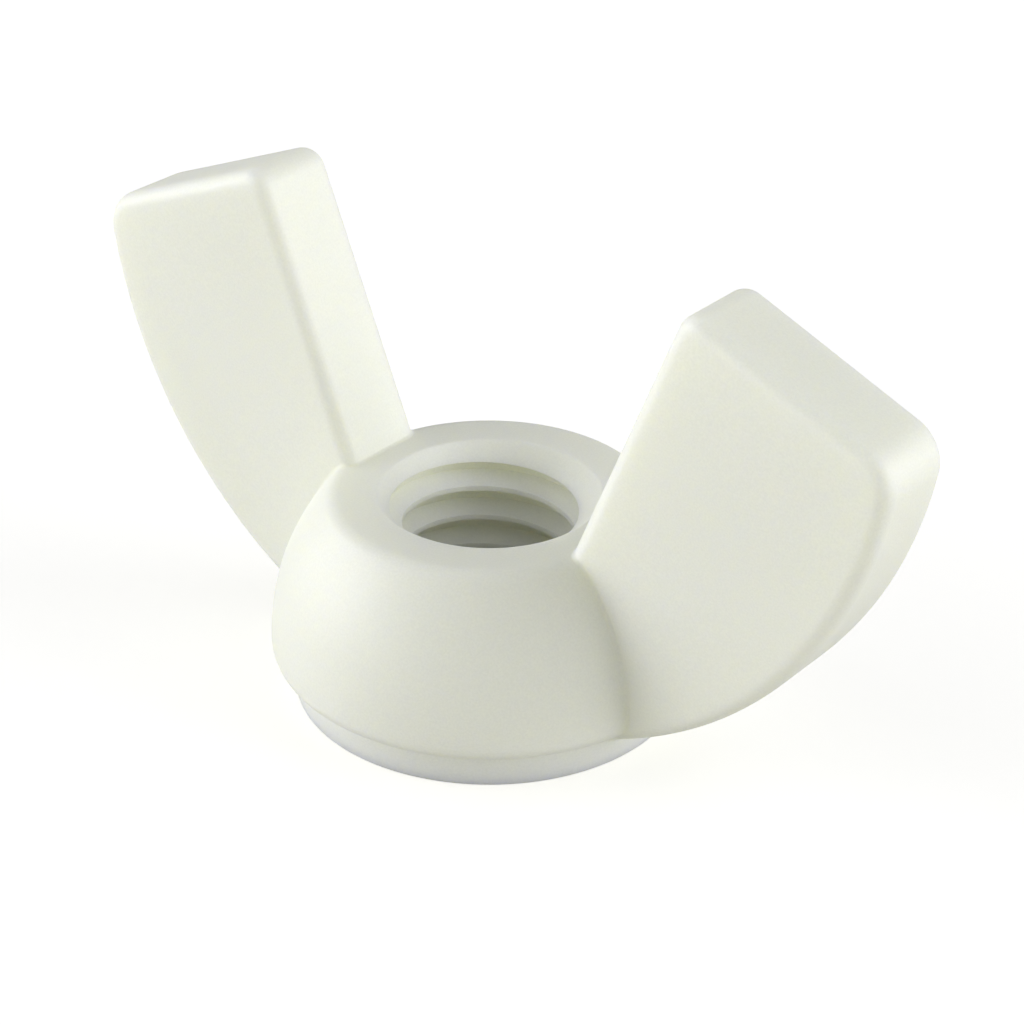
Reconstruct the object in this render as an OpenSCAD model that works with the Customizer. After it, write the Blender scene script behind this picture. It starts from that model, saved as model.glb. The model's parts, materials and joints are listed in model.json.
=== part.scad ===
// Wing nut for an M5 screw, one moulding: a domed hub on a round foot, two flat wings and a bore.
// The origin is the centre of the foot's bearing face, +Z runs up the bore, the wings lie along X.

/* [Thread] */
// Nominal screw size, measured over the screw's thread
thread_d = 5; // [4:0.1:6]
// Distance from one turn of the thread to the next
pitch = 0.8; // [0.5:0.05:1]
// How much wider than the screw each countersink is at its mouth
countersink_over = 0.3; // [0.1:0.05:0.6]
// Height of the plain bore between the lower countersink and the thread
foot_rim = 0.4; // [0.3:0.05:0.6]
// Height of the plain bore between the thread and the upper countersink
top_rim = 0.12; // [0.1:0.01:0.3]
// Where round the bore the thread's last crest ends, in degrees from +X
thread_phase = 228; // [0:1:359]

/* [Hub] */
// Width across the hub's belly, its widest place
hub_d = 10.5; // [9.8:0.1:13]
// Height of the hub, from the foot's bearing face to its flat top
hub_h = 5.1; // [4.2:0.1:6.2]
// Height of the belly above the bearing face
belly_z = 1.35; // [1:0.05:1.7]
// Radius of the hub's bulging side above the belly
side_r = 5.5; // [4.6:0.1:9]
// Radius of the shoulder between the side and the flat top
shoulder_r = 0.5; // [0.2:0.05:0.8]
// Radius of the lip under the belly
lip_r = 0.5; // [0.2:0.05:0.8]
// Width of the round foot
foot_d = 9.4; // [8:0.1:9.6]

/* [Wings] */
// Width over both wing tips
span = 22.6; // [20:0.1:27.5]
// Height of the wings above the bearing face
height = 11.9; // [10:0.1:14.5]
// Thickness of a wing
wing_t = 2.4; // [2:0.1:3]
// Gap between the wings at the level of the hub's top
wing_gap = 6.5; // [5.8:0.1:7.8]
// Outward lean of each wing, in degrees
lean = 22; // [16:1:27]
// Radius of the curved outer edge of a wing
sweep_r = 11.1; // [9.5:0.1:13]
// Height at which that curve meets the side of the foot
heel_z = 0.65; // [0.4:0.05:0.8]
// Radius of the upper corner next to the gap
inner_corner_r = 0.55; // [0.45:0.05:1]
// Radius of the upper corner at the tip
tip_corner_r = 1; // [0.5:0.05:1.8]
// Rounding of a wing's long edges
edge_r = 0.4; // [0.2:0.05:0.45]

/* [Hidden] */
$fn = 72;
nylon = [0.90, 0.91, 0.87];
over = 1;                                  // overshoot of a cut past the face that it opens

hub_r = hub_d / 2;
foot_r = foot_d / 2;
foot_h = belly_z - lip_r;

// ISO basic profile: the bore is the screw's nominal size less 5/8 of the sharp profile on each side
sharp_h = pitch * cos(30);
minor_r = thread_d / 2 - sharp_h * 5 / 8;
major_r = thread_d / 2;
mouth_r = (thread_d + countersink_over) / 2;

// The shoulder's arc touches the bulging side and the flat top
side_c = [hub_r - side_r, belly_z];
shoulder_z = hub_h - shoulder_r;
shoulder_x = side_c.x + sqrt(pow(side_r - shoulder_r, 2) - pow(shoulder_z - belly_z, 2));
shoulder_c = [shoulder_x, shoulder_z];
side_top_z = belly_z + side_r * (shoulder_z - belly_z) / (side_r - shoulder_r);

// A wing's outline in the XZ plane: unit normals of its inner edge, its top edge and its tip corner
inner_n = [-cos(lean), sin(lean)];
top_n = [sin(lean), cos(lean)];
inner_p = [wing_gap / 2, hub_h];
inner_c_z = height - inner_corner_r;
inner_c_x = inner_p.x + (inner_c_z - hub_h) * tan(lean) + inner_corner_r / cos(lean);
inner_c = [inner_c_x, inner_c_z];
top_p = inner_c + inner_corner_r * top_n;

// The tip corner is the widest place. Its centre lies its own radius inside the tip and the top edge
tip_c_x = span / 2 - tip_corner_r;
tip_base = top_p - tip_corner_r * top_n;
tip_c = [tip_c_x, tip_base.y - (tip_c_x - tip_base.x) * tan(lean)];

// The outer curve touches the tip corner from outside and meets the foot at the heel
heel = [foot_r, heel_z];
chord = norm(tip_c - heel);
chord_dir = (tip_c - heel) / chord;
chord_side = [-chord_dir.y, chord_dir.x];
sweep_a = (chord * chord + pow(sweep_r, 2) - pow(sweep_r - tip_corner_r, 2)) / (2 * chord);
sweep_c = heel + sweep_a * chord_dir + sqrt(pow(sweep_r, 2) - pow(sweep_a, 2)) * chord_side;
tip_angle = atan2(tip_c.y - sweep_c.y, tip_c.x - sweep_c.x);

// Inside the hub the outer curve ends midway from the countersink's mouth to the foot's side, and the
// inner edge ends at low_p
root_x = (mouth_r + foot_r) / 2;
root_angle = -acos((root_x - sweep_c.x) / sweep_r);
low_z = hub_h - shoulder_r - 1;
low_p = inner_p + [(low_z - hub_h) * tan(lean), low_z - hub_h];

// Keeps what lies between two heights
module band(low, high) {
    intersection() {
        children();
        translate([0, low]) square([2 * hub_r, high - low]);
    }
}

// Half of the hub's section, right of the axis, from the foot up
module hub_section() {
    square([foot_r, belly_z]);
    translate([0, foot_h]) square([hub_r - lip_r, lip_r]);
    band(foot_h, belly_z) translate([hub_r - lip_r, belly_z]) circle(lip_r);
    band(belly_z, side_top_z) translate(side_c) circle(side_r);
    band(side_top_z, hub_h) translate(shoulder_c) circle(shoulder_r);
    translate([0, side_top_z]) square([shoulder_c.x, hub_h - side_top_z]);
}

// A wing's outline in the XZ plane, d inside its widest outline: every arc keeps its centre.
// The last point and the first one lie inside the hub.
function arc_points(c, r, a, b, count) =
    [for (i = [0:count]) let (t = a + (b - a) * i / count) c + r * [cos(t), sin(t)]];
function outline(d) = concat(
    arc_points(sweep_c, sweep_r - d, root_angle, tip_angle - 1, 20),
    arc_points(tip_c, tip_corner_r - d, tip_angle, 90 - lean, 6),
    arc_points(inner_c, inner_corner_r - d, 90 - lean, 180 - lean, 6),
    [low_p - d * inner_n]
);

// A wing is a stack of outlines: full size in the middle, drawn in along a quarter circle to each face
wing_layers = [for (side = [-1, 1], step = [0:4])
    let (a = side < 0 ? 90 - 22.5 * step : 22.5 * step)
    [side * (wing_t / 2 - edge_r + edge_r * sin(a)), edge_r * (1 - cos(a))]];

module wing() {
    n = len(outline(0));
    last = len(wing_layers) - 1;
    points = [for (layer = wing_layers) each [for (p = outline(layer[1])) [p.x, layer[0], p.y]]];
    sides = [for (k = [0:last - 1], i = [0:n - 1])
        let (next = (i + 1) % n)
        [k * n + i, k * n + next, (k + 1) * n + next, (k + 1) * n + i]];
    faces = concat([[for (i = [n - 1:-1:0]) i]], sides, [[for (i = [0:n - 1]) last * n + i]]);
    polyhedron(points = points, faces = faces, convexity = 4);
}

// Plain bore with a 90 degree countersink at both ends
module bore() {
    depth = mouth_r - minor_r;
    translate([0, 0, -over]) cylinder(h = hub_h + 2 * over, r = minor_r);
    for (end = [0, 1]) {
        translate([0, 0, end * hub_h]) mirror([0, 0, end]) translate([0, 0, -over])
            cylinder(h = depth + over, r1 = mouth_r + over, r2 = minor_r);
    }
}

// The space that the screw's thread fills: a right-hand helicoid, closed at both ends on the axis.
// Its crests lie a hair outside the bore, so the cut clears every turn between the two plain rims.
tap_steps = 36;
tap_crest_r = minor_r + 0.01;
tap_low_z = mouth_r - minor_r + foot_rim;
tap_high_z = hub_h - (mouth_r - minor_r) - top_rim;
tap_turns = ceil((tap_high_z - tap_low_z) / pitch) + 2;
tap_last = tap_steps * tap_turns;
flank_z = (major_r - tap_crest_r) * tan(30);
root_z = pitch / 8;
crest_z = pitch - root_z - 2 * flank_z;
tap_profile = [
    [tap_crest_r, 0],
    [tap_crest_r, crest_z],
    [major_r, crest_z + flank_z],
    [major_r, crest_z + flank_z + root_z]
];
tap_start_z = tap_high_z - (tap_turns - 1) * pitch - crest_z;
function tap_point(step, corner) =
    let (angle = 360 * step / tap_steps + thread_phase, p = tap_profile[corner])
    [p.x * cos(angle), p.x * sin(angle), p.y + tap_start_z + pitch * step / tap_steps];
function tap_index(step, corner) = corner < 4 ? 4 * step + corner : 4 * (step + tap_steps);

module thread_tap() {
    rows = [for (step = [0:tap_last + tap_steps], corner = [0:3]) tap_point(step, corner)];
    low_tip = len(rows);
    high_tip = low_tip + 1;
    low_loop = concat([for (step = [0:tap_steps]) tap_index(step, 0)], [for (c = [3:-1:1]) tap_index(0, c)]);
    high_loop = concat(
        [for (step = [0:tap_steps]) tap_index(tap_last + step, 0)],
        [for (c = [3:-1:1]) tap_index(tap_last, c)]
    );
    skin = [for (step = [0:tap_last - 1], c = [0:3], half = [0, 1])
        half == 0
            ? [tap_index(step, c), tap_index(step, c + 1), tap_index(step + 1, c + 1)]
            : [tap_index(step, c), tap_index(step + 1, c + 1), tap_index(step + 1, c)]];
    loop_n = len(low_loop);
    low_fan = [for (i = [0:loop_n - 1]) [low_tip, low_loop[i], low_loop[(i + 1) % loop_n]]];
    high_fan = [for (i = [0:loop_n - 1]) [high_tip, high_loop[(i + 1) % loop_n], high_loop[i]]];
    intersection() {
        polyhedron(
            points = concat(rows, [[0, 0, tap_start_z - pitch], [0, 0, tap_start_z + (tap_turns + 2) * pitch]]),
            faces = concat(skin, low_fan, high_fan),
            convexity = 10
        );
        translate([0, 0, tap_low_z]) cylinder(h = tap_high_z - tap_low_z, r = major_r + over);
    }
}

module wing_nut() {
    color(nylon) difference() {
        union() {
            rotate_extrude() hub_section();
            wing();
            mirror([1, 0, 0]) wing();
        }
        bore();
        thread_tap();
    }
}

wing_nut();
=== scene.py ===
"""A wing nut moulded in one piece from natural nylon, standing on a plain pale floor.

The hub and its countersinks are one turned profile, each wing is a rounded blade with a little
draft, small fillets run round both wings' roots, and the thread is a helical groove cut from the
bore. Lengths are in millimetres until a mesh is made.
"""

import json
import logging
import math
from collections.abc import Callable, Sequence
from dataclasses import dataclass, field
from enum import Enum

import bmesh
import bpy
import numpy as np
from mathutils import Matrix, Vector


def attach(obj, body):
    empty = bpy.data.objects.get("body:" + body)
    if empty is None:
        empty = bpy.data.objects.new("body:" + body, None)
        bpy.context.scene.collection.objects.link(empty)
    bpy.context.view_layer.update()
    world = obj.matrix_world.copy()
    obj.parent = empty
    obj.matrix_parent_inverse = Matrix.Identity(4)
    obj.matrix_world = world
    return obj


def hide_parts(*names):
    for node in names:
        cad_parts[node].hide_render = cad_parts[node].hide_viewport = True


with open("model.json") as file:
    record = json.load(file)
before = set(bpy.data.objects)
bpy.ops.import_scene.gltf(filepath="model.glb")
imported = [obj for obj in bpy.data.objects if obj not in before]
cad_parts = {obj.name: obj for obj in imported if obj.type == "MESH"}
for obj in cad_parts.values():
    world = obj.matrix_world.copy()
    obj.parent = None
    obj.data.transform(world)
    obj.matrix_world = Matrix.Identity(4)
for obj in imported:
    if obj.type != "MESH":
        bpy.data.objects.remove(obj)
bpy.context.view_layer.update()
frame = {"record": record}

log = logging.getLogger("wing_nut")

MM = 0.001
NODE = "wing_nut"
SLOT = "nylon"
FLANK = math.pi / 6
SMALLEST = 1e-12
Point = tuple[float, float]


class Side(Enum):
    """Which wing, by the sign of its X."""

    RIGHT = 1
    LEFT = -1


class Cut(Enum):
    """The boolean operations that put the nut together."""

    JOIN = "UNION"
    REMOVE = "DIFFERENCE"


def arc(centre: Point, radius: float, start: float, end: float, steps: int) -> list[Point]:
    """Points on an arc, both ends included.

    Args:
        centre: The arc's centre.
        radius: Its radius.
        start: Angle of its first point, in radians.
        end: Angle of its last point, in radians.
        steps: How many chords it has.

    Returns:
        The points in order.
    """
    angles = np.linspace(start, end, steps + 1)
    return [(centre[0] + radius * math.cos(a), centre[1] + radius * math.sin(a)) for a in angles]


def mesh_object(name: str, points: Sequence, faces: Sequence) -> bpy.types.Object:
    """Makes a mesh object from points in millimetres.

    Args:
        name: The object's name.
        points: Its corners.
        faces: Its faces, as tuples of corner numbers.

    Returns:
        The linked object.
    """
    mesh = bpy.data.meshes.new(name)
    mesh.from_pydata([tuple(c * MM for c in p) for p in points], [], faces)
    mesh.validate()
    obj = bpy.data.objects.new(name, mesh)
    bpy.context.scene.collection.objects.link(obj)
    return obj


def face_outwards(obj: bpy.types.Object) -> None:
    """Turns every face of a closed mesh outwards.

    Args:
        obj: The object whose mesh is changed.
    """
    work = bmesh.new()
    work.from_mesh(obj.data)
    bmesh.ops.recalc_face_normals(work, faces=work.faces)
    if work.calc_volume(signed=True) < 0:
        bmesh.ops.reverse_faces(work, faces=work.faces)
    work.to_mesh(obj.data)
    work.free()


def solid(name: str, points: Sequence, faces: Sequence) -> bpy.types.Object:
    """Makes a closed mesh object whose faces point outwards.

    Args:
        name: The object's name.
        points: Its corners, in millimetres.
        faces: Its faces, as tuples of corner numbers.

    Returns:
        The linked object.
    """
    obj = mesh_object(name, points, faces)
    face_outwards(obj)
    return obj


def lofted_faces(rings: int, size: int, closed_rings: bool, closed_ends: bool) -> list[tuple[int, ...]]:
    """Faces between rings of points that were listed one ring after another.

    Args:
        rings: How many rings there are.
        size: How many points each has.
        closed_rings: Whether the last ring joins the first.
        closed_ends: Whether the first and last ring are filled with a face.

    Returns:
        The faces as tuples of point numbers.
    """
    faces = []
    for k in range(rings if closed_rings else rings - 1):
        low, high = k * size, ((k + 1) % rings) * size
        for i in range(size):
            j = (i + 1) % size
            faces.append((low + i, low + j, high + j, high + i))
    if closed_ends:
        faces.append(tuple(range(size - 1, -1, -1)))
        faces.append(tuple((rings - 1) * size + i for i in range(size)))
    return faces


def baked(obj: bpy.types.Object) -> bpy.types.Object:
    """Turns an object's modifiers into plain mesh.

    Args:
        obj: The object, which keeps its name.

    Returns:
        The same object with its evaluated mesh and no modifiers.
    """
    evaluated = obj.evaluated_get(bpy.context.evaluated_depsgraph_get())
    mesh = bpy.data.meshes.new_from_object(evaluated)
    old = obj.data
    obj.modifiers.clear()
    obj.data = mesh
    bpy.data.meshes.remove(old)
    return obj


def cut(target: bpy.types.Object, tool: bpy.types.Object, how: Cut) -> None:
    """Joins a tool to a solid or removes it from it, and deletes the tool.

    Args:
        target: The solid that stays.
        tool: The solid that is used up.
        how: Whether it is joined or removed.
    """
    boolean = target.modifiers.new("cut", "BOOLEAN")
    boolean.object = tool
    boolean.operation = how.value
    boolean.solver = "MANIFOLD"
    baked(target)
    bpy.data.meshes.remove(tool.data)


def outline_distance(points: np.ndarray, outline: Sequence[Point]) -> np.ndarray:
    """Signed distance from points to a closed outline, negative inside.

    Args:
        points: An array of points, one per row.
        outline: The outline's corners in order.

    Returns:
        One distance per point.
    """
    a = np.array(outline)
    b = np.roll(a, -1, axis=0)
    edge = b - a
    rel = points[:, None, :] - a
    t = np.clip((rel * edge).sum(-1) / ((edge**2).sum(-1) + SMALLEST), 0, 1)
    gap = np.linalg.norm(rel - t[..., None] * edge, axis=-1).min(-1)
    rise = np.where(edge[:, 1] == 0, SMALLEST, edge[:, 1])
    crosses = (a[:, 1] <= points[:, None, 1]) != (b[:, 1] <= points[:, None, 1])
    left = points[:, None, 0] < a[:, 0] + rel[..., 1] * edge[:, 0] / rise
    inside = (crosses & left).sum(-1) % 2 == 1
    return np.where(inside, -gap, gap)


@dataclass
class Hub:
    """The domed hub with its round foot, its bore and a countersink at each end."""

    height: float
    bore_radius: float
    countersink: float
    foot_radius: float = 4.7
    belly_radius: float = 5.24
    belly_height: float = 1.353
    side_radius: float = 5.47
    shoulder_radius: float = 0.47
    lip_radius: float = 0.49
    edge_radius: float = 0.06
    edge_steps: int = 4
    lip_steps: int = 12
    side_steps: int = 28
    shoulder_steps: int = 12
    mouth_steps: int = 5
    steps: int = 256

    def outside(self) -> list[Point]:
        """The profile from the foot's bearing face up to the flat top, as (radius, height)."""
        side = (self.belly_radius - self.side_radius, self.belly_height)
        rise = self.height - self.shoulder_radius - side[1]
        reach = math.sqrt((self.side_radius - self.shoulder_radius) ** 2 - rise**2)
        shoulder = (side[0] + reach, self.height - self.shoulder_radius)
        turn = math.atan2(rise, reach)
        lip = (self.belly_radius - self.lip_radius, self.belly_height)
        edge = self.edge_radius
        points = arc((self.foot_radius - edge, edge), edge, -math.pi / 2, 0, self.edge_steps)
        points.append((self.foot_radius, self.belly_height - self.lip_radius))
        points += arc(lip, self.lip_radius, -math.pi / 2, 0, self.lip_steps)
        points += arc(side, self.side_radius, 0, turn, self.side_steps)[1:]
        points += arc(shoulder, self.shoulder_radius, turn, math.pi / 2, self.shoulder_steps)[1:]
        return points

    def mouth(self) -> list[Point]:
        """The rounded edge between the flat top and the countersink, then the way down to the bore."""
        radius = self.bore_radius + self.countersink
        edge = 2 * self.edge_radius
        back = edge * math.tan(math.pi / 8)
        centre = (radius + back, self.height - edge)
        rim = arc(centre, edge, math.pi / 2, 3 * math.pi / 4, self.mouth_steps)
        return rim + [(self.bore_radius, self.height - self.countersink)]

    def build(self) -> bpy.types.Object:
        """Turns the profile into a closed ring.

        Returns:
            The hub, with a plain bore.
        """
        upper = self.mouth()
        lower = [(r, self.height - z) for r, z in reversed(upper)]
        profile = self.outside() + upper + lower
        points = []
        for k in range(self.steps):
            a = 2 * math.pi * k / self.steps
            points += [(r * math.cos(a), r * math.sin(a), z) for r, z in profile]
        return solid("hub", points, lofted_faces(self.steps, len(profile), True, False))

    def distance(self, points: np.ndarray) -> np.ndarray:
        """Signed distance from points in space to the hub, its bore filled in."""
        outline = self.outside() + [(0.0, self.height), (0.0, 0.0)]
        flat = np.stack([np.hypot(points[:, 0], points[:, 1]), points[:, 2]], axis=-1)
        return outline_distance(flat, outline)


@dataclass
class Wing:
    """One flat blade with rounded edges. It thins slightly towards its top and its tip."""

    hub_height: float
    gap: float = 6.53
    slope: float = 0.4061
    top_height: float = 12.01
    fall: float = 0.4091
    sweep_centre: Point = (0.3525, 10.794)
    sweep_radius: float = 11.059
    tip_radius: float = 1.013
    corner_radius: float = 0.564
    edge_radius: float = 0.376
    thickness: float = 2.452
    draft_up: float = -0.0142
    draft_out: float = -0.0105
    draft_from: float = 4.7
    root_height: float = 0.3
    root_depth: float = 1.5
    sweep_steps: int = 60
    tip_steps: int = 20
    corner_steps: int = 16
    edge_steps: int = 8

    def outline(self, inset: float = 0.0) -> list[Point]:
        """The blade's outline in the XZ plane, the same arcs at every inset.

        Args:
            inset: How far inside the widest outline it lies.

        Returns:
            The corners, as (outwards, up).
        """
        inner_n = np.array([-1, self.slope]) / math.hypot(1, self.slope)
        top_n = np.array([self.fall, 1]) / math.hypot(1, self.fall)
        inner_p = np.array([self.gap / 2, self.hub_height])
        rise = self.top_height - self.hub_height
        top_p = inner_p + np.array([self.slope * rise, rise])
        normals = np.array([inner_n, top_n])
        reach = np.array([inner_n @ inner_p, top_n @ top_p])
        corner = np.linalg.solve(normals, reach - self.corner_radius)
        centre = np.array(self.sweep_centre)
        along = np.array([top_n[1], -top_n[0]])
        base = top_p - top_n * self.tip_radius
        ahead = (base - centre) @ along
        off = (base - centre) @ (base - centre) - (self.sweep_radius - self.tip_radius) ** 2
        tip = base + along * (math.sqrt(ahead**2 - off) - ahead)
        turn = math.atan2(*(tip - centre)[::-1])
        inner_a, top_a = math.atan2(*inner_n[::-1]), math.atan2(*top_n[::-1])
        root = -math.asin((centre[1] - self.root_height) / self.sweep_radius)
        points = arc(tuple(centre), self.sweep_radius - inset, root, turn, self.sweep_steps)
        points += arc(tuple(tip), self.tip_radius - inset, turn, top_a, self.tip_steps)[1:]
        points += arc(tuple(corner), self.corner_radius - inset, top_a, inner_a, self.corner_steps)
        foot = inner_p - self.root_depth * np.array([self.slope, 1]) - inset * inner_n
        points.append((float(foot[0]), float(foot[1])))
        return points

    def half(self, x: float | np.ndarray, z: float | np.ndarray) -> float | np.ndarray:
        """Half of the blade's thickness at a place in the XZ plane."""
        up = self.draft_up * (z - self.hub_height)
        out = self.draft_out * (x - self.draft_from)
        return (self.thickness + up + out) / 2

    def build(self, side: Side) -> bpy.types.Object:
        """Stacks outlines across the blade's thickness.

        Args:
            side: Which wing it is.

        Returns:
            The closed blade, its root inside the hub.
        """
        turns = np.linspace(0, math.pi / 2, self.edge_steps + 1)
        layers = [(-1, math.sin(a), 1 - math.cos(a)) for a in turns[::-1]]
        layers += [(1, math.sin(a), 1 - math.cos(a)) for a in turns]
        points = []
        for sign, across, inward in layers:
            for x, z in self.outline(self.edge_radius * inward):
                y = sign * (self.half(x, z) - self.edge_radius * (1 - across))
                points.append((side.value * x, y, z))
        faces = lofted_faces(len(layers), len(self.outline()), False, True)
        return solid(f"wing_{side.name.lower()}", points, faces)

    def distance(self, points: np.ndarray) -> np.ndarray:
        """Signed distance from points in space to the right-hand blade."""
        flat = points[:, [0, 2]]
        a = outline_distance(flat, self.outline()) + self.edge_radius
        b = np.abs(points[:, 1]) - self.half(points[:, 0], points[:, 2]) + self.edge_radius
        outer = np.hypot(np.maximum(a, 0), np.maximum(b, 0))
        return outer + np.minimum(np.maximum(a, b), 0) - self.edge_radius


@dataclass
class RootFillet:
    """The small fillet round a wing's root, as the path of a ball that touches hub and wing."""

    hub: Hub
    wing: Wing
    radius: float = 0.13
    sink: float = 0.002
    stride: float = 0.06
    steps: int = 6
    probe: float = 1e-4
    tries: int = 8
    longest_move: float = 0.2
    start_at: float = 4.8
    most_points: int = 2000
    fewest_points: int = 20
    overlap: float = 0.12

    def gradients(self, at: np.ndarray) -> tuple[np.ndarray, np.ndarray, np.ndarray]:
        """Both distances at a point, and the unit directions in which they grow.

        Args:
            at: The point.

        Returns:
            The two distances, the wing's direction and the hub's direction.
        """
        step = self.probe
        shifts = np.concatenate([np.zeros((1, 3)), step * np.eye(3), -step * np.eye(3)])
        rows = [f(at + shifts) for f in (self.wing.distance, self.hub.distance)]
        slopes = [(r[1:4] - r[4:7]) / (2 * step) for r in rows]
        units = [s / max(float(np.linalg.norm(s)), 1e-9) for s in slopes]
        return np.array([rows[0][0], rows[1][0]]), units[0], units[1]

    def settle(self, at: np.ndarray) -> np.ndarray:
        """Moves a point to where the ball touches both surfaces."""
        goal = self.radius - self.sink
        for _ in range(self.tries):
            gaps, to_wing, to_hub = self.gradients(at)
            slopes = np.array([to_wing, to_hub])
            move = np.linalg.lstsq(slopes, goal - gaps, rcond=None)[0]
            at = at + np.clip(move, -self.longest_move, self.longest_move)
        return at

    def path(self) -> list[np.ndarray]:
        """The ball's centre, all the way round the wing's root.

        Returns:
            Points about one stride apart.
        """
        y = self.wing.thickness / 2 + self.radius
        start = self.settle(np.array([self.start_at, -y, self.hub.height / 2]))
        points = [start]
        for count in range(self.most_points):
            _, to_wing, to_hub = self.gradients(points[-1])
            ahead = np.cross(to_wing, to_hub)
            ahead /= np.linalg.norm(ahead)
            points.append(self.settle(points[-1] + self.stride * ahead))
            back = float(np.linalg.norm(points[-1] - start))
            if count > self.fewest_points and back < 0.8 * self.stride:
                return points[:-1]
        log.warning("the fillet's path did not close")
        return points

    def build(self, side: Side) -> bpy.types.Object:
        """Sweeps the corner that the ball leaves along its path.

        Args:
            side: Which wing's root it goes round.

        Returns:
            A closed ring, most of it inside the hub and the wing.
        """
        rings = []
        for centre in self.path():
            _, wing_n, hub_n = self.gradients(centre)
            spread = math.acos(float(np.clip(wing_n @ hub_n, -1, 1)))
            ring = []
            for t in np.linspace(0, 1, self.steps + 1):
                a, b = math.sin((1 - t) * spread), math.sin(t * spread)
                ring.append(centre - self.radius * (a * wing_n + b * hub_n) / math.sin(spread))
            middle = (wing_n + hub_n) / np.linalg.norm(wing_n + hub_n)
            ring.append(centre - middle * (self.radius / math.cos(spread / 2) + self.overlap))
            rings.append(ring)
        points = [(side.value * p[0], p[1], p[2]) for ring in rings for p in ring]
        faces = lofted_faces(len(rings), len(rings[0]), True, False)
        return solid(f"fillet_{side.name.lower()}", points, faces)


@dataclass
class Thread:
    """The right-hand groove between the crests, swept along a helix by a node tree."""

    crest_radius: float
    hub_height: float
    pitch: float = 0.8
    crest_share: float = 0.17
    root_share: float = 0.2
    clearance: float = 0.3
    crest_angle: float = 128.8
    crest_height: float = 4.05
    steps_per_turn: int = 96
    spare_turns: int = 3

    def depth(self) -> float:
        """How deep the groove is below the crests, with flanks at 30 degrees."""
        return (1 - self.crest_share - self.root_share) * self.pitch / 2 / math.tan(FLANK)

    def tree(self) -> bpy.types.NodeTree:
        """Builds the node tree that sweeps a trapezoid along a helix.

        Returns:
            The tree, with one named input for each of the groove's sizes.
        """
        tree = bpy.data.node_groups.new("helical_groove", "GeometryNodeTree")
        face = tree.interface
        face.new_socket("Geometry", in_out="INPUT", socket_type="NodeSocketGeometry")
        for name in ("Turns", "Helix Radius", "Rise", "Mouth", "Root", "Depth", "Base"):
            face.new_socket(name, in_out="INPUT", socket_type="NodeSocketFloat")
        face.new_socket("Steps", in_out="INPUT", socket_type="NodeSocketInt")
        face.new_socket("Material", in_out="INPUT", socket_type="NodeSocketMaterial")
        face.new_socket("Geometry", in_out="OUTPUT", socket_type="NodeSocketGeometry")

        def add(kind: str) -> bpy.types.Node:
            """Adds a node of that kind."""
            return tree.nodes.new(kind)

        link: Callable = tree.links.new
        given = add("NodeGroupInput").outputs
        helix = add("GeometryNodeCurveSpiral")
        link(given["Steps"], helix.inputs["Resolution"])
        link(given["Turns"], helix.inputs["Rotations"])
        link(given["Helix Radius"], helix.inputs["Start Radius"])
        link(given["Helix Radius"], helix.inputs["End Radius"])
        link(given["Rise"], helix.inputs["Height"])
        helix.inputs["Reverse"].default_value = True
        upright = add("GeometryNodeSetCurveNormal")
        upright.mode = "Z_UP"
        link(helix.outputs["Curve"], upright.inputs["Curve"])
        section = add("GeometryNodeCurvePrimitiveQuadrilateral")
        section.mode = "TRAPEZOID"
        link(given["Mouth"], section.inputs["Bottom Width"])
        link(given["Root"], section.inputs["Top Width"])
        link(given["Depth"], section.inputs["Height"])
        section.inputs["Offset"].default_value = 0.0
        turned = add("GeometryNodeTransform")
        turned.inputs["Rotation"].default_value = (0.0, 0.0, -math.pi / 2)
        link(section.outputs["Curve"], turned.inputs["Geometry"])
        sweep = add("GeometryNodeCurveToMesh")
        link(upright.outputs["Curve"], sweep.inputs["Curve"])
        link(turned.outputs["Geometry"], sweep.inputs["Profile Curve"])
        sweep.inputs["Fill Caps"].default_value = True
        place = add("ShaderNodeCombineXYZ")
        link(given["Base"], place.inputs["Z"])
        moved = add("GeometryNodeTransform")
        link(sweep.outputs["Mesh"], moved.inputs["Geometry"])
        link(place.outputs["Vector"], moved.inputs["Translation"])
        real = add("GeometryNodeRealizeInstances")
        link(moved.outputs["Geometry"], real.inputs["Geometry"])
        paint = add("GeometryNodeSetMaterial")
        link(real.outputs["Geometry"], paint.inputs["Geometry"])
        link(given["Material"], paint.inputs["Material"])
        link(paint.outputs["Geometry"], add("NodeGroupOutput").inputs["Geometry"])
        return tree

    def build(self, material: bpy.types.Material) -> bpy.types.Object:
        """Makes the groove as a closed solid that runs past both ends of the bore.

        Args:
            material: What the tree gives the groove's faces.

        Returns:
            The groove.
        """
        turns = math.ceil(self.hub_height / self.pitch) + self.spare_turns
        inner = self.crest_radius - self.clearance
        depth = self.depth() + self.clearance
        mouth = (1 - self.crest_share) * self.pitch + 2 * self.clearance * math.tan(FLANK)
        first = self.crest_height + self.pitch / 2 - self.pitch * self.crest_angle / 360
        base = first - self.pitch * math.ceil(first / self.pitch + 1)
        values = {
            "Turns": float(turns),
            "Helix Radius": (inner + depth / 2) * MM,
            "Rise": turns * self.pitch * MM,
            "Mouth": mouth * MM,
            "Root": self.root_share * self.pitch * MM,
            "Depth": depth * MM,
            "Base": base * MM,
            "Steps": self.steps_per_turn,
            "Material": material,
        }
        groove = mesh_object("groove", [], [])
        swept = groove.modifiers.new("helix", "NODES")
        swept.node_group = self.tree()
        for item in swept.node_group.interface.items_tree:
            if item.in_out == "INPUT" and item.name in values:
                swept[item.identifier] = values[item.name]
        baked(groove)
        face_outwards(groove)
        return groove


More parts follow.
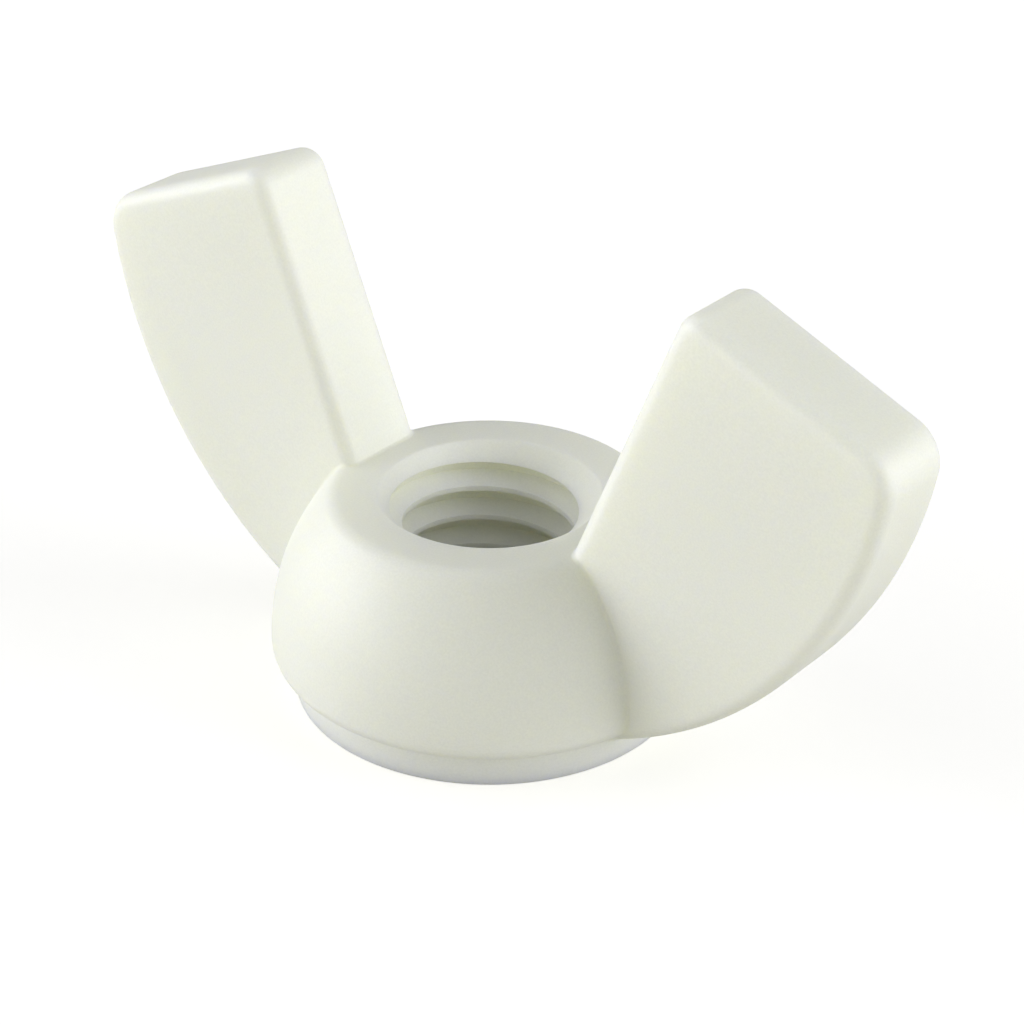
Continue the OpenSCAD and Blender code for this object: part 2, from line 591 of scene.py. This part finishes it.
@dataclass(frozen=True)
class NaturalNylon:
    """Uncoloured nylon: a satin, slightly see-through, warm off-white with a fine mould grain."""

    colour: tuple[float, float, float] = (0.865, 0.87, 0.76)
    patch_colour: tuple[float, float, float] = (0.855, 0.865, 0.74)
    roughness: float = 0.45
    refraction: float = 1.5
    reach: tuple[float, float, float] = (1.0, 0.95, 0.6)
    depth: float = 0.0011
    scatter: float = 0.7
    grain: float = 0.000005
    grain_scale: float = 20000.0
    grain_shade: float = 0.025
    grain_range: tuple[float, float] = (0.3, 0.7)
    grain_detail: float = 2.0
    bump_strength: float = 0.5
    patch_scale: float = 260.0
    patch_detail: float = 3.0

    def material(self) -> bpy.types.Material:
        """Builds the shader.

        Returns:
            The material, which reads Object coordinates.
        """
        nylon = bpy.data.materials.new(SLOT)
        nylon.use_nodes = True
        nodes, link = nylon.node_tree.nodes, nylon.node_tree.links.new
        shader = nodes["Principled BSDF"]
        shader.inputs["Roughness"].default_value = self.roughness
        shader.inputs["IOR"].default_value = self.refraction
        shader.inputs["Subsurface Weight"].default_value = self.scatter
        shader.inputs["Subsurface Radius"].default_value = self.reach
        shader.inputs["Subsurface Scale"].default_value = self.depth
        place = nodes.new("ShaderNodeTexCoord")
        patches = nodes.new("ShaderNodeTexNoise")
        patches.inputs["Scale"].default_value = self.patch_scale
        patches.inputs["Detail"].default_value = self.patch_detail
        link(place.outputs["Object"], patches.inputs["Vector"])
        tint = nodes.new("ShaderNodeMix")
        tint.data_type = "RGBA"
        tint.inputs["A"].default_value = (*self.colour, 1.0)
        tint.inputs["B"].default_value = (*self.patch_colour, 1.0)
        link(patches.outputs["Fac"], tint.inputs["Factor"])
        grain = nodes.new("ShaderNodeTexNoise")
        grain.inputs["Scale"].default_value = self.grain_scale
        grain.inputs["Detail"].default_value = self.grain_detail
        link(place.outputs["Object"], grain.inputs["Vector"])
        speckle = nodes.new("ShaderNodeMapRange")
        speckle.inputs["From Min"].default_value = self.grain_range[0]
        speckle.inputs["From Max"].default_value = self.grain_range[1]
        speckle.inputs["To Min"].default_value = 1.0 - self.grain_shade
        speckle.inputs["To Max"].default_value = 1.0 + self.grain_shade
        link(grain.outputs["Fac"], speckle.inputs["Value"])
        shade = nodes.new("ShaderNodeHueSaturation")
        link(speckle.outputs["Result"], shade.inputs["Value"])
        link(tint.outputs["Result"], shade.inputs["Color"])
        link(shade.outputs["Color"], shader.inputs["Base Color"])
        bump = nodes.new("ShaderNodeBump")
        bump.inputs["Distance"].default_value = self.grain
        bump.inputs["Strength"].default_value = self.bump_strength
        link(grain.outputs["Fac"], bump.inputs["Height"])
        link(bump.outputs["Normal"], shader.inputs["Normal"])
        return nylon


@dataclass
class WingNut:
    """The whole moulding."""

    hub: Hub
    wing: Wing
    thread: Thread
    finish: NaturalNylon = field(default_factory=NaturalNylon)
    crease: float = 24.0

    def build(self) -> bpy.types.Object:
        """Joins hub, wings and fillets, cuts the thread and dresses the result.

        Returns:
            The finished piece.
        """
        nylon = self.finish.material()
        body = self.hub.build()
        fillet = RootFillet(self.hub, self.wing)
        for side in Side:
            cut(body, self.wing.build(side), Cut.JOIN)
            cut(body, fillet.build(side), Cut.JOIN)
        cut(body, self.thread.build(nylon), Cut.REMOVE)
        body.name = body.data.name = "moulding"
        body.data.materials.clear()
        body.data.materials.append(nylon)
        body.data.shade_smooth()
        body.data.set_sharp_from_angle(angle=math.radians(self.crease))
        log.info("moulding: %d faces", len(body.data.polygons))
        return body


@dataclass
class Studio:
    """The floor, the soft lights and the camera.

    The floor's glow is seen by the camera only, and casts no light on the nut.
    """

    aim: tuple[float, float, float]
    azimuth: float
    elevation: float
    roll: float
    distance: float
    lens: float
    floor_size: float = 4.0
    floor_colour: tuple[float, float, float, float] = (0.66, 0.65, 0.6, 1.0)
    floor_glow: float = 0.52
    sky: float = 0.41
    light_colour: tuple[float, float, float] = (0.93, 0.94, 1.0)
    lamp_size: float = 0.35
    lamp_distance: float = 0.4
    floor_roughness: float = 0.9
    sensor_width: float = 36.0
    nearest: float = 0.005

    def floor(self) -> bpy.types.Object:
        """Lays the plain pale floor under the foot."""
        half = self.floor_size / 2 / MM
        ring = [(-half, -half, 0), (half, -half, 0), (half, half, 0), (-half, half, 0)]
        floor = mesh_object("floor", ring, [(0, 1, 2, 3)])
        paint = bpy.data.materials.new("floor_paint")
        paint.use_nodes = True
        shader = paint.node_tree.nodes["Principled BSDF"]
        shader.inputs["Base Color"].default_value = self.floor_colour
        shader.inputs["Roughness"].default_value = self.floor_roughness
        shader.inputs["Emission Color"].default_value = (1.0, 1.0, 1.0, 1.0)
        nodes, link = paint.node_tree.nodes, paint.node_tree.links.new
        seen, glow = nodes.new("ShaderNodeLightPath"), nodes.new("ShaderNodeMath")
        glow.operation = "MULTIPLY"
        glow.inputs[1].default_value = self.floor_glow
        link(seen.outputs["Is Camera Ray"], glow.inputs[0])
        link(glow.outputs["Value"], shader.inputs["Emission Strength"])
        floor.data.materials.append(paint)
        return floor

    def toward(self, azimuth: float, elevation: float) -> Vector:
        """Unit vector from the nut towards a viewer or a light at that place."""
        a, e = math.radians(azimuth), math.radians(elevation)
        return Vector((math.sin(a) * math.cos(e), -math.cos(a) * math.cos(e), math.sin(e)))

    def lamp(self, name: str, azimuth: float, elevation: float, power: float) -> None:
        """Hangs a square soft light that faces the nut.

        Args:
            name: The light's name.
            azimuth: Where it hangs, in degrees from straight in front.
            elevation: How high, in degrees.
            power: Its power in watts.
        """
        data = bpy.data.lights.new(name, "AREA")
        data.size = self.lamp_size
        data.energy = power
        data.color = self.light_colour
        light = bpy.data.objects.new(name, data)
        away = self.toward(azimuth, elevation)
        light.location = away * self.lamp_distance
        light.rotation_euler = away.to_track_quat("Z", "Y").to_euler()
        bpy.context.scene.collection.objects.link(light)

    def camera(self) -> None:
        """Sets up the camera, which looks at the aim point from its azimuth and elevation."""
        data = bpy.data.cameras.new("camera")
        data.lens = self.lens
        data.sensor_width = self.sensor_width
        data.clip_start = self.nearest
        camera = bpy.data.objects.new("camera", data)
        away = self.toward(self.azimuth, self.elevation)
        a = math.radians(self.azimuth)
        right = Vector((math.cos(a), math.sin(a), 0.0))
        up = away.cross(right)
        turn = Matrix((right, up, away)).transposed() @ Matrix.Rotation(math.radians(self.roll), 3, "Z")
        place = (Vector(self.aim) + away * self.distance) * MM
        camera.matrix_world = Matrix.Translation(place) @ turn.to_4x4()
        bpy.context.scene.collection.objects.link(camera)
        bpy.context.scene.camera = camera

    def build(self) -> None:
        """Puts the whole studio in place."""
        self.floor()
        self.lamp("front_left", -35.0, 6.0, 0.85)
        self.lamp("key_left", -62.0, 10.0, 1.27)
        self.lamp("front_right", 80.0, 9.0, 0.21)
        self.lamp("key_right", 118.0, 10.0, 1.28)
        self.lamp("high_right", 118.0, 40.0, 0.26)
        world = bpy.data.worlds.new("white_room")
        world.use_nodes = True
        background = world.node_tree.nodes["Background"]
        background.inputs["Color"].default_value = (*self.light_colour, 1.0)
        background.inputs["Strength"].default_value = self.sky
        bpy.context.scene.world = world
        bpy.context.scene.view_settings.view_transform = "Standard"
        self.camera()


def mount(name: str) -> dict:
    """The record's mount of that name."""
    return next(m for m in frame["record"]["mounts"] if m["name"] == name)


def main() -> None:
    """Builds the nut in the frame, then the studio round it."""
    logging.basicConfig(level=logging.INFO)
    thread = mount("thread")
    height = 2 * thread["pos_m"][2] / MM
    bore = thread["dims"]["r_mm"]
    countersink = (height - thread["dims"]["length_mm"]) / 2
    nut = WingNut(
        hub=Hub(height=height, bore_radius=bore, countersink=countersink),
        wing=Wing(hub_height=height),
        thread=Thread(crest_radius=bore, hub_height=height),
    )
    piece = nut.build()
    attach(piece, "root")
    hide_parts(NODE)
    studio = Studio(
        aim=(-0.793, 1.845, 3.476),
        azimuth=38.64,
        elevation=29.115,
        roll=0.405,
        distance=65.28,
        lens=93.99,
    )
    studio.build()


if __name__ == "__main__":
    main()
